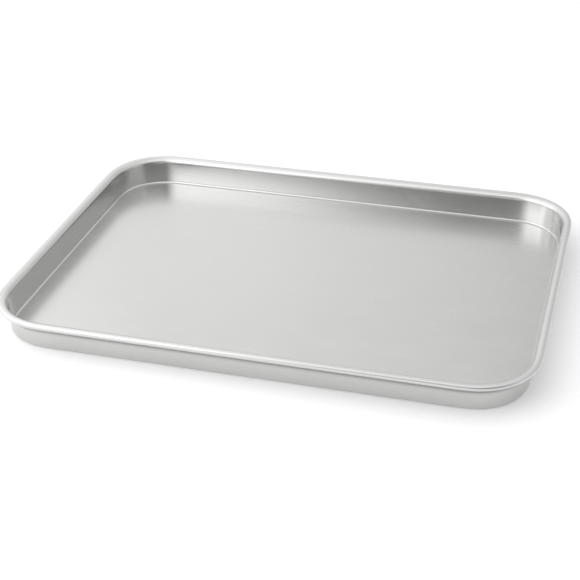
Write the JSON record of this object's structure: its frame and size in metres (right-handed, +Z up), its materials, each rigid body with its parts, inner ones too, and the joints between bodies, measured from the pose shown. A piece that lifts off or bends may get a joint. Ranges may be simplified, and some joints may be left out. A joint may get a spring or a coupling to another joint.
{
  "type": "baking pan",
  "caption": "Shallow oblong baking pan pressed from sheet aluminium, with rounded corners, walls that open out a little and an outward rolled rim stiffened by a wire",
  "frame": {"origin": "centre of the flat underside, on the surface that the pan stands on", "axes": "+X along the pan's length, +Y across its width, +Z up and out of the open top"},
  "size_m": [0.4064, 0.3048, 0.0241],
  "materials": {
    "pan_sheet": "satin anodised silver",
    "rim_wire": "drawn wire"
  },
  "bodies": {
    "root": {"pan_body": "pan_sheet", "rim_wire": "rim_wire"}
  },
  "joints": []
}
